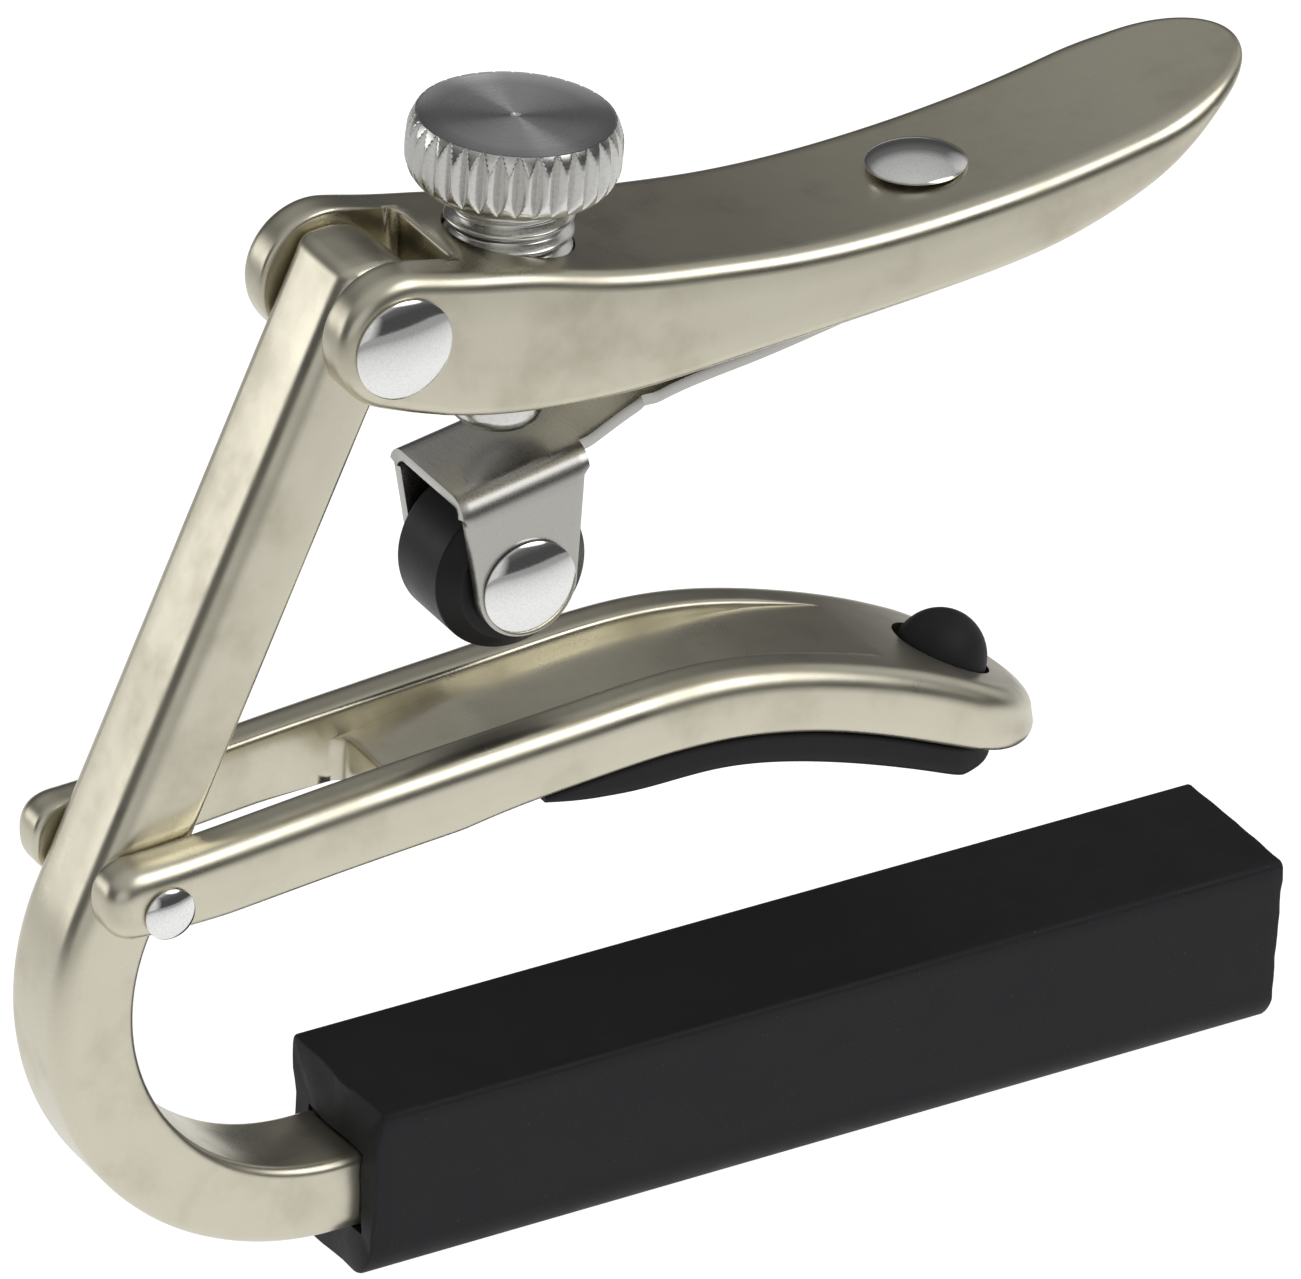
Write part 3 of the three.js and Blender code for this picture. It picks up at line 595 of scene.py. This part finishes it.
# ---------------------------------------------------------------- string bar
def band(a, b, normal_a, normal_b, half, radius_a, radius_b):
    """A closed ring of points round a rounded flat bar between its inner point a and its outer point b."""
    quarter = np.linspace(0, math.pi / 2, 7)

    def edge(point, normal, radius, phi):
        px, pz = point - normal * radius * (1 - math.cos(phi))
        return px, half - radius + radius * math.sin(phi), pz

    side = [(a[0], (half - radius_a) * share, a[1]) for share in (0, 0.5)]
    side += [edge(a, normal_a, radius_a, phi) for phi in quarter]
    start, stop = a - normal_a * radius_a, b - normal_b * radius_b
    for share in (0.33, 0.67):
        px, pz = start + (stop - start) * share
        side.append((px, half, pz))
    side += [edge(b, normal_b, radius_b, phi) for phi in quarter[::-1]]
    side += [(b[0], (half - radius_b) * share, b[1]) for share in (0.5, 0)]
    return side + [(px, -py, pz) for px, py, pz in side[-2:0:-1]]


def heading(angle):
    """The unit vector at an angle."""
    return np.array([math.cos(angle), math.sin(angle)])


def on_leg(up, out):
    """A place on the bar's leaning leg, measured along it and out of it from the bend's centre."""
    return BEND + UP * up + OUT * out


BAR_EYE_R, CORNER, CROWN = 3.4, 1.2, 31 * DEG
HEAD_EDGE, INNER_EDGE, OUTER_EDGE = 0.8, 0.6, 1.25
lever_up = float((LEVER - BEND) @ UP)
lever_out = float((LEVER - BEND) @ OUT)
front, rear = lever_out - BEND_R, BEND_R + BAR_T - lever_out
dip = math.sqrt(BAR_EYE_R ** 2 - front ** 2)
crown = heading(CROWN)
corner = np.array([(BAR_EYE_R - CORNER - (rear - CORNER) * crown[1]) / crown[0], rear - CORNER])
meet = (BAR_EYE_R * crown + corner + CORNER * crown) / 2
start_turn = -(math.pi / 2 + math.acos(front / BAR_EYE_R))
eye = [(BAR_EYE_R * heading(q), heading(q)) for q in np.linspace(CROWN, start_turn, 34)]
back_edge = [(corner + CORNER * heading(q), heading(q)) for q in np.linspace(CROWN, math.pi / 2, 14)]
back_edge += [(np.array([up, rear]), np.array([0.0, 1.0])) for up in np.linspace(corner[0], -dip, 21)[1:]]
inner, outer, n_in, n_out, radius = [meet], [meet], [crown], [crown], [(HEAD_EDGE, HEAD_EDGE)]
for (near_point, near_normal), (far_point, far_normal), fade in zip(eye, back_edge, np.linspace(0, 1, 34)):
    inner.append(near_point)
    outer.append(far_point)
    n_in.append(near_normal)
    n_out.append(far_normal)
    fade = min(1.0, fade * 2.5)
    radius.append((HEAD_EDGE + (INNER_EDGE - HEAD_EDGE) * fade, HEAD_EDGE + (OUTER_EDGE - HEAD_EDGE) * fade))
inner = [LEVER + UP * p[0] + OUT * p[1] for p in inner]
outer = [LEVER + UP * p[0] + OUT * p[1] for p in outer]
n_in = [UP * p[0] + OUT * p[1] for p in n_in]
n_out = [UP * p[0] + OUT * p[1] for p in n_out]
turn = n_in[-1]
for up in np.linspace(lever_up - dip, 0, 34)[1:]:
    fade = min(1.0, (lever_up - dip - up) / 2.5)
    normal = (1 - fade) * turn - fade * OUT
    inner.append(on_leg(up, BEND_R))
    n_in.append(normal / np.linalg.norm(normal))
    outer.append(on_leg(up, BEND_R + BAR_T))
    n_out.append(OUT)
for angle in np.linspace(math.pi - LEG, 1.5 * math.pi, 60)[1:]:
    inner.append(BEND + BEND_R * heading(angle))
    outer.append(BEND + (BEND_R + BAR_T) * heading(angle))
    n_in.append(-heading(angle))
    n_out.append(heading(angle))
for px in np.linspace(BEND[0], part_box("string_bar")[1][0] / MM, 12)[1:]:
    inner.append(np.array([px, BEND[1] - BEND_R]))
    outer.append(np.array([px, BEND[1] - BEND_R - BAR_T]))
    n_in.append(np.array([0.0, 1.0]))
    n_out.append(np.array([0.0, -1.0]))
radius += [(INNER_EDGE, OUTER_EDGE)] * (len(inner) - len(radius))
rings = [band(a, b, normal_a, normal_b, BAR_W / 2, *edges)
         for a, b, normal_a, normal_b, edges in zip(inner, outer, n_in, n_out, radius)]
skin = Skin().grid(rings, loop=True).fan(rings[-1])
bar = skin.build("bar_body", NICKEL_BAR, 50)
finish_piece(bar, "bar", "nickel", "string_bar")


# ---------------------------------------------------------------- string sleeve
lo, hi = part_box("string_sleeve")
SLEEVE_X0, SLEEVE_X1, SLEEVE_H = lo[0] / MM, hi[0] / MM, -lo[2] / MM
TOP_W, TOP_R, FOOT_W, FOOT_R = 5.1, 0.4, 4.25, 2.3
BAR_Z = BEND[1] - BEND_R - BAR_T / 2
BORE_GAP = 0.12
section = [(0.0, 0.0), *[(y, 0.0) for y in np.linspace(0, TOP_W - TOP_R, 8)[1:]]]
section += arc(TOP_W - TOP_R, -TOP_R, TOP_R, 90, 4, 6)[1:]
section += [(TOP_W - (TOP_W - FOOT_W) * share, -TOP_R - (SLEEVE_H - FOOT_R - TOP_R) * share)
            for share in np.linspace(0, 1, 12)[1:]]
section += [(FOOT_W - FOOT_R + FOOT_R * math.cos(q), -SLEEVE_H + FOOT_R - FOOT_R * math.sin(q))
            for q in np.linspace(0.08, math.pi / 2, 10)]
section += [(1.0, -SLEEVE_H), (0.0, -SLEEVE_H)]
section = np.array(section)
section = np.concatenate([section, (section * (-1, 1))[-2:0:-1]])
from_bar = section - (0, BAR_Z)
reach = np.minimum((BAR_W / 2 + BORE_GAP) / np.maximum(abs(from_bar[:, 0]), 1e-6),
                   (BAR_T / 2 + BORE_GAP) / np.maximum(abs(from_bar[:, 1]), 1e-6))
bore = from_bar * reach[:, None] + (0, BAR_Z)


def ring_at(px, shape, shrink=0.0, cut_end=0):
    """One section of the sleeve. A cut end leans a little and wanders, as a knife leaves it."""
    pts = (shape - (0, BAR_Z)) * (1 - shrink) + (0, BAR_Z)
    wander = 0.07 * np.sin(pts[:, 0] * 1.1 + pts[:, 1] * 0.9)
    wander += 0.04 * np.sin(pts[:, 1] * 2.3 - pts[:, 0] * 0.7)
    if cut_end < 0:
        lean = wander + 0.045 * pts[:, 1]
    elif cut_end > 0:
        lean = -0.12 - abs(wander)
    else:
        lean = 0 * wander
    return [(px + dx, y, z) for (y, z), dx in zip(pts, lean)]


rows = [ring_at(SLEEVE_X0 + dx, section, shrink, -1) for dx, shrink in ((0, 0.03), (0.08, 0.008), (0.2, 0))]
rows += [ring_at(px, section) for px in np.linspace(SLEEVE_X0 + 1.2, SLEEVE_X1 - 1, 60)]
rows += [ring_at(SLEEVE_X1 - dx, section, shrink, 1) for dx, shrink in ((0.2, 0), (0.08, 0.008), (0, 0.03))]
mouth, inside = ring_at(SLEEVE_X0, bore, 0, -1), ring_at(SLEEVE_X0 + 2, bore)
far_inside, far_mouth = ring_at(SLEEVE_X1 - 2, bore), ring_at(SLEEVE_X1, bore, 0, 1)
skin = Skin().grid([inside, mouth, *rows, far_mouth, far_inside, inside], loop=True)
sleeve = skin.build("sleeve_body", RUBBER, 34)
finish_piece(sleeve, "bar", "rubber", "string_sleeve")


# ---------------------------------------------------------------- rivets
def dome(r, rise, base, sign):
    """Half a rivet head from its rim up to its crown, along the axis."""
    rim = 0.16
    pts = [(r - 0.12, base), (r - 0.02, base + sign * 0.05)]
    for share in np.linspace(0, 1, 14):
        w = math.cos(share * math.pi / 2) if share < 1 else 0.0
        pts.append((r * w, base + sign * (rim + (rise - rim) * (1 - w * w) ** 0.8)))
    return pts


def rivet(name, centre, axis, ends, head, tail, shank, body, node):
    """A rivet between two ends along its axis. head and tail are each a radius and a rise."""
    near, far = ends
    profile = [*dome(*head, near, 1)[::-1], (shank, near), (shank, far), *dome(*tail, far, -1)]
    obj = lathe(Skin(), profile, axis, centre, 72).build(name, POLISHED, 50)
    return finish_piece(obj, body, "polished", node)


NEAR = (0, -1, 0)
CASTING_FACE, FORK_FACE = CASTING_HALF + 0.05, 4.15
RIVET_X = 33.8
rivet("lever_rivet_body", (LEVER[0], 0, LEVER[1]), NEAR, (CASTING_FACE, -CASTING_FACE),
      (2.8, 0.85), (2.5, 0.7), 1.6, "lever", "lever_rivet")
rivet("arm_rivet_body", (ARM[0], 0, ARM[1]), NEAR, (CASTING_FACE, -CASTING_FACE),
      (1.45, 0.6), (1.4, 0.5), 0.9, "arm", "arm_rivet")
rivet("axle_body", (AXLE[0], 0, AXLE[1]), NEAR, (FORK_FACE, -FORK_FACE),
      (2.7, 0.85), (2.3, 0.6), 1.3, "spring", "roller_axle")
rivet("spring_rivet_body", (LEVER[0] + RIVET_X, 0, LEVER[1]), (0, 0, 1), (-0.35, -6.3),
      (2.73, 0.85), (2.1, 0.6), 1.3, "lever", "spring_rivet")

# ---------------------------------------------------------------- roller
ROLLER_BORE, ROLLER_R, ROLLER_HALF = 1.38, 4.45, 3.1
flank = [(ROLLER_BORE, ROLLER_HALF), (3.4, ROLLER_HALF), (3.55, ROLLER_HALF - 0.06),
         (4.4, ROLLER_HALF - 0.92), (ROLLER_R, ROLLER_HALF - 1.05)]
profile = [*[(r, -h) for r, h in flank], *flank[::-1], (ROLLER_BORE, -ROLLER_HALF)]
roller = lathe(Skin(), profile, NEAR, (AXLE[0], 0, AXLE[1]), 96).build("roller_body", PLASTIC, 20)
finish_piece(roller, "wheel", "black_plastic", "roller")

# ---------------------------------------------------------------- roller spring
FORK_X0, FORK_X1, FORK_Z, SLOPE = 4.4, 11.9, -11.2, math.tan(10 * DEG)
FORK_HALF, FOLD, SHEET, EAR_R = 4.1, 1.3, 0.7, 2.9
LEAF_HALF, WAIST_HALF = 3.1, 2.75
ax, az = AXLE - LEVER


def plate(px):
    """Height of the fork's sloping top."""
    return FORK_Z + SLOPE * (px - FORK_X0)


round_z = np.array([az - EAR_R * math.cos(q) for q in np.linspace(0.0, math.pi / 2, 13)])
ear_z = np.concatenate([round_z, np.linspace(az, FORK_Z - FOLD, 12)[1:]])
steps = np.linspace(0, 1, 15)
plate_x = FORK_X0 + (FORK_X1 - FORK_X0) * steps
columns = []
for z in ear_z:
    if z <= az:
        reach = math.sqrt(max(EAR_R ** 2 - (z - az) ** 2, 0))
        x0, x1 = ax - reach, ax + reach
    else:
        up = (z - az) / (FORK_Z - az)
        x0 = ax - EAR_R + (FORK_X0 + 0.05 - ax + EAR_R) * up
        x1 = ax + EAR_R + (FORK_X1 - 0.2 - ax - EAR_R) * up
    lift = np.clip((z - az) / (FORK_Z - FOLD - az), 0, 1)
    columns.append([(px, FORK_HALF, z + (plate(px) - FORK_Z) * lift) for px in x0 + (x1 - x0) * steps])
for q in np.linspace(0, math.pi / 2, 7)[1:]:
    y, drop = FORK_HALF - FOLD * (1 - math.cos(q)), FOLD * (1 - math.sin(q))
    columns.append([(px, y, plate(px) - drop) for px in plate_x])
flat = [[(px, y, plate(px)) for px in plate_x]
        for y in np.linspace(FORK_HALF - FOLD, -FORK_HALF + FOLD, 13)[1:-1]]
far = [[(px, -y, z) for px, y, z in column] for column in columns[::-1]]
skin = Skin().grid(columns + flat + far)
leaf_z = spline([(FORK_X1, plate(FORK_X1)), (12.6, -9.62), (15.2, -8.42), (16.0, -8.15), (22.2, -7.1),
                 (28, -6.12), (RIVET_X, -5.32), (37, -4.98)], start=SLOPE)
leaf_x = np.concatenate([np.linspace(FORK_X1, 16.5, 18), np.linspace(16.5, RIVET_X, 26)[1:],
                         ease(RIVET_X, RIVET_X + LEAF_HALF, 14, (False, True))[1:]])
leaf = []
for px in leaf_x:
    w = np.interp(px, [FORK_X1, 12.4, 15.3, 15.7, 16.3, 20],
                  [FORK_HALF - FOLD, 2.9, 2.9, WAIST_HALF, LEAF_HALF, LEAF_HALF])
    if px > RIVET_X:
        w = math.sqrt(max(LEAF_HALF ** 2 - (px - RIVET_X) ** 2, 0.01))
    leaf.append([(px, across * w, float(leaf_z(px))) for across in np.linspace(1, -1, 13)])
skin.grid(leaf)
spring = skin.moved(LEVER).build("spring_body", SPRING, 60)
if sum(p.normal.z * p.area for p in spring.data.polygons) < 0:
    spring.data.flip_normals()
sheet = spring.modifiers.new("sheet", "SOLIDIFY")
sheet.thickness, sheet.offset, sheet.use_even_offset = SHEET * MM, -1, True
edge = spring.modifiers.new("edge", "BEVEL")
edge.width, edge.segments, edge.limit_method, edge.angle_limit = 0.12 * MM, 2, "ANGLE", 60 * DEG
settle(spring)
shade(spring, 40)
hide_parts("roller_spring")
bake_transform(spring)

# ---------------------------------------------------------------- thumbscrew and its tip
SCREW_FRAME = Matrix.Translation(Vector(SCREW) * MM) @ Matrix.Rotation(SCREW_TILT, 4, "Y")
KNOB_R, KNOB_RIM, KNOB_Z0, KNOB_Z1, KNOB_MID = 5.68, 0.44, 2.95, 6.71, 4.95
KNURLS, KNURL_DEPTH = 34, 0.52
FACE_Z = KNOB_Z1 - 0.05
theta = np.linspace(0, 2 * math.pi, KNURLS * 12, endpoint=False)
ridge_phase = abs((theta * KNURLS / (2 * math.pi)) % 1 - 0.5)
lobe = KNOB_R + 0.02 - KNURL_DEPTH * (2 * ridge_phase) ** 1.35


def barrel(z):
    """The knob's turned outline, fuller at mid height and drawn in at both ends."""
    t = (z - KNOB_MID) / (KNOB_Z1 - KNOB_MID)
    return KNOB_R + 0.03 - (0.45 * t ** 2.6 if t > 0 else 0.72 * (-t * 0.9) ** 3.0)


def round_ring(z, r, angles):
    """A ring of points about the screw's axis."""
    return np.stack([r * np.cos(angles), r * np.sin(angles), np.full_like(angles, z)], 1)


def knob_ring(z, r):
    """A ring of the knob, with ridges wherever it is wide enough to reach them."""
    return round_ring(z, np.minimum(lobe, r), theta)


rows = [knob_ring(KNOB_Z0, r) for r in (0.0, 3.0, 4.7)]
knob_z = [*np.linspace(KNOB_Z0 + 0.03, 4.2, 14), 4.6, 5.0, 5.4, *np.linspace(5.7, KNOB_Z1, 18)]
rows += [knob_ring(z, barrel(z)) for z in knob_z]
rim_r = KNOB_R - KNOB_RIM
face = [(rim_r - 0.06, KNOB_Z1), (rim_r - 0.12, KNOB_Z1 - 0.03), (4.0, FACE_Z), (2.5, FACE_Z), (1.0, FACE_Z),
        (0.3, FACE_Z), (0.2, KNOB_Z1 - 0.12), (0.0, KNOB_Z1 - 0.16)]
skin = Skin().grid(rows, loop=True)
skin.grid([rows[-1], *[knob_ring(z, r) for r, z in face]], loop=True)
head = skin.build("screw_head", KNOB, 32, 1e-6)

PITCH, MAJOR, MINOR, STUD_END, NECK_R = 1.0, 3.46, 2.95, -8.9, 3.0
turns = np.linspace(0, 2 * math.pi, 64, endpoint=False)
rows = []
for z in np.arange(STUD_END, KNOB_Z0 - 0.0001, 0.085):
    wave = (z / PITCH - turns / (2 * math.pi)) % 1
    tooth = np.clip((abs(wave - 0.5) * 2 - 0.14) / 0.74, 0, 1)
    chamfer = 2.75 + (z - STUD_END) * 1.2
    rows.append(round_ring(z, np.minimum(MAJOR - (MAJOR - MINOR) * tooth, chamfer), turns))
rows.append(round_ring(KNOB_Z0, NECK_R, turns))
thread = Skin().grid(rows, loop=True).fan(rows[0]).fan(rows[-1])
stud = thread.build("screw_stud", KNOB, 70, 1e-6)

TIP_R, TIP_STEM_R, TIP_SHOULDER, TIP_STEM_TOP = 2.55, 1.2, -9.0, -6.2
profile = [(0, -10.95), (1.2, -10.9), (2.0, -10.65), (2.45, -10.2), (TIP_R, -9.8), (TIP_R, -9.1),
           (2.4, TIP_SHOULDER), (TIP_STEM_R, TIP_SHOULDER), (TIP_STEM_R, TIP_STEM_TOP), (0, TIP_STEM_TOP)]
tip = lathe(Skin(), profile, (0, 0, 1), (0, 0, 0), 64).build("tip_body", KNOB, 40)
for piece in (head, stud, tip):
    piece.matrix_world = SCREW_FRAME

head.data.materials.append(TURNED)
for p in head.data.polygons:
    if p.normal.z > 0.8 and math.hypot(p.center.x, p.center.y) < (rim_r - 0.1) * MM:
        p.material_index = 1
ring = head.data.attributes.new("ring", "FLOAT", "POINT")
ring.data.foreach_set("value", [math.hypot(v.co.x, v.co.y) / MM for v in head.data.vertices])
finish_piece(head, "screw", "turned_steel", "thumbscrew")
finish_piece(stud, "screw", "turned_steel")
finish_piece(tip, "tip", "turned_steel", "screw_tip")

# ---------------------------------------------------------------- stage, light and camera
FLOOR_HALF, FLOOR_GAP = 1, 0.0002
floor_z = CAD_BOX[0][2] - FLOOR_GAP
square = [(x * FLOOR_HALF, y * FLOOR_HALF, floor_z) for x, y in ((-1, -1), (1, -1), (1, 1), (-1, 1))]
mesh = bpy.data.meshes.new("floor")
mesh.from_pydata(square, [], [(0, 1, 2, 3)])
floor = bpy.data.objects.new("floor", mesh)
bpy.context.scene.collection.objects.link(floor)
mat, tree, shader, coord = nodes_for("floor")
shader.inputs["Base Color"].default_value = (0.25, 0.25, 0.25, 1)
shader.inputs["Roughness"].default_value = 0.9
shader.inputs["Specular IOR Level"].default_value = 0.0
shader.inputs["Emission Color"].default_value = (1, 1, 1, 1)
rays = tree.nodes.new("ShaderNodeLightPath")
fall = tree.nodes.new("ShaderNodeVectorMath")
fall.operation = "LENGTH"
tree.links.new(coord.outputs["Object"], fall.inputs[0])
# the floor's glow fades with distance from the object, in metres; the camera sees it plain white
glow = span(tree, fall.outputs["Value"], 0.82, 0.2, 0.05, 0.3)
seen = tree.nodes.new("ShaderNodeMix")
tree.links.new(rays.outputs["Is Camera Ray"], seen.inputs["Factor"])
tree.links.new(glow, seen.inputs["A"])
seen.inputs["B"].default_value = 1.0
tree.links.new(seen.outputs["Result"], shader.inputs["Emission Strength"])
mesh.materials.append(mat)

LOOK_AT = Vector((-8.92, 0, 21.33)) * MM
VIEW_AZ, VIEW_EL, DISTANCE = -29.1 * DEG, 29.1 * DEG, 0.7958
LENS, SENSOR = 415.06, 36
level = math.cos(VIEW_EL)
back = Vector((math.sin(VIEW_AZ) * level, -math.cos(VIEW_AZ) * level, math.sin(VIEW_EL)))
cam = bpy.data.objects.new("camera", bpy.data.cameras.new("camera"))
bpy.context.scene.collection.objects.link(cam)
cam.data.lens, cam.data.sensor_width = LENS, SENSOR
cam.data.clip_start, cam.data.clip_end = 0.01, 20
cam.location = LOOK_AT + back * DISTANCE
cam.rotation_mode = "QUATERNION"
cam.rotation_quaternion = (-back).to_track_quat("-Z", "Y")
bpy.context.scene.camera = cam

world = bpy.data.worlds.new("studio")
bpy.context.scene.world = world
world.use_nodes = True
tree = world.node_tree
coord = tree.nodes.new("ShaderNodeTexCoord")
split = tree.nodes.new("ShaderNodeSeparateXYZ")
tree.links.new(coord.outputs["Generated"], split.inputs["Vector"])
sky = ramp(tree, split.outputs["Z"], [(0.0, 0.07), (0.2, 0.07), (0.48, 0.15), (0.66, 0.42), (1.0, 0.55)])
# soft lamps round the object: direction, cosine where each starts, cosine where it is full, brightness
LAMPS = [((0.47, -0.5, 0.73), 0.91, 0.97, 2.6), ((-0.62, -0.77, 0.12), 0.82, 0.95, 0.6),
         ((-0.70, 0.71, 0.03), 0.92, 0.985, 1.8), ((0.9, 0.3, 0.3), 0.90, 0.99, 0.5)]
for direction, start, full, level in LAMPS:
    dot = tree.nodes.new("ShaderNodeVectorMath")
    dot.operation = "DOT_PRODUCT"
    dot.inputs[1].default_value = Vector(direction).normalized()
    tree.links.new(coord.outputs["Generated"], dot.inputs[0])
    glow = span(tree, dot.outputs["Value"], 0.0, level, start, full)
    add = tree.nodes.new("ShaderNodeMix")
    add.data_type, add.blend_type = "RGBA", "ADD"
    add.inputs["Factor"].default_value = 1.0
    tree.links.new(sky, add.inputs["A"])
    tree.links.new(glow, add.inputs["B"])
    sky = add.outputs["Result"]
rays = tree.nodes.new("ShaderNodeLightPath")
seen = tree.nodes.new("ShaderNodeMix")
seen.data_type = "RGBA"
tree.links.new(rays.outputs["Is Camera Ray"], seen.inputs["Factor"])
tree.links.new(sky, seen.inputs["A"])
seen.inputs["B"].default_value = (1, 1, 1, 1)
tree.links.new(seen.outputs["Result"], tree.nodes["Background"].inputs["Color"])
tree.nodes["Background"].inputs["Strength"].default_value = 1.0
bpy.context.scene.view_settings.view_transform = "Standard"
